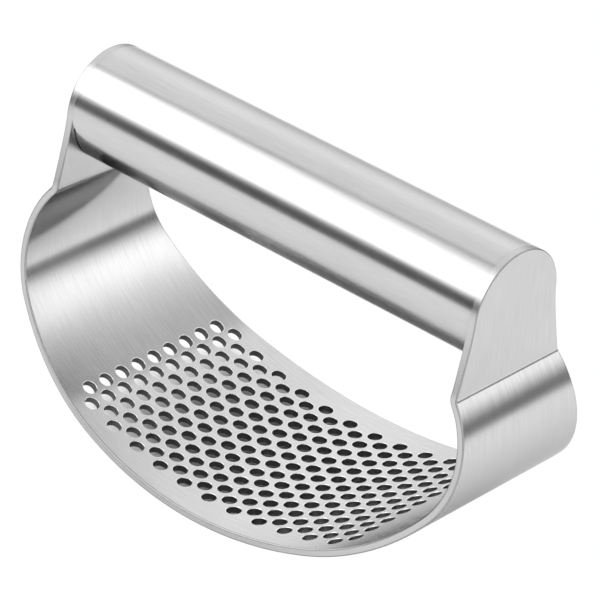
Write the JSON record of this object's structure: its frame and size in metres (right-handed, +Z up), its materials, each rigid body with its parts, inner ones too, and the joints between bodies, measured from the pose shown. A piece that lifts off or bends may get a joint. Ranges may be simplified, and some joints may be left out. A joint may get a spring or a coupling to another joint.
{
  "type": "garlic press",
  "caption": "Rocking garlic press: an arched, perforated steel sheet whose ends rise to tabs that carry a round tube handle.",
  "frame": {"origin": "under the middle of the curved plate, at its lowest point", "axes": "+Z up from the plate to the handle, X along the handle tube, Y across the plate"},
  "size_m": [0.0996, 0.048, 0.0628],
  "materials": {
    "plate_steel": "satin brushed stainless steel",
    "tube_steel": "lengthwise brushed stainless steel",
    "weld_steel": "ground weld seam"
  },
  "bodies": {
    "root": {"rocker_plate": "plate_steel", "handle_tube": "tube_steel", "left_weld": "weld_steel", "right_weld": "weld_steel"}
  },
  "joints": []
}
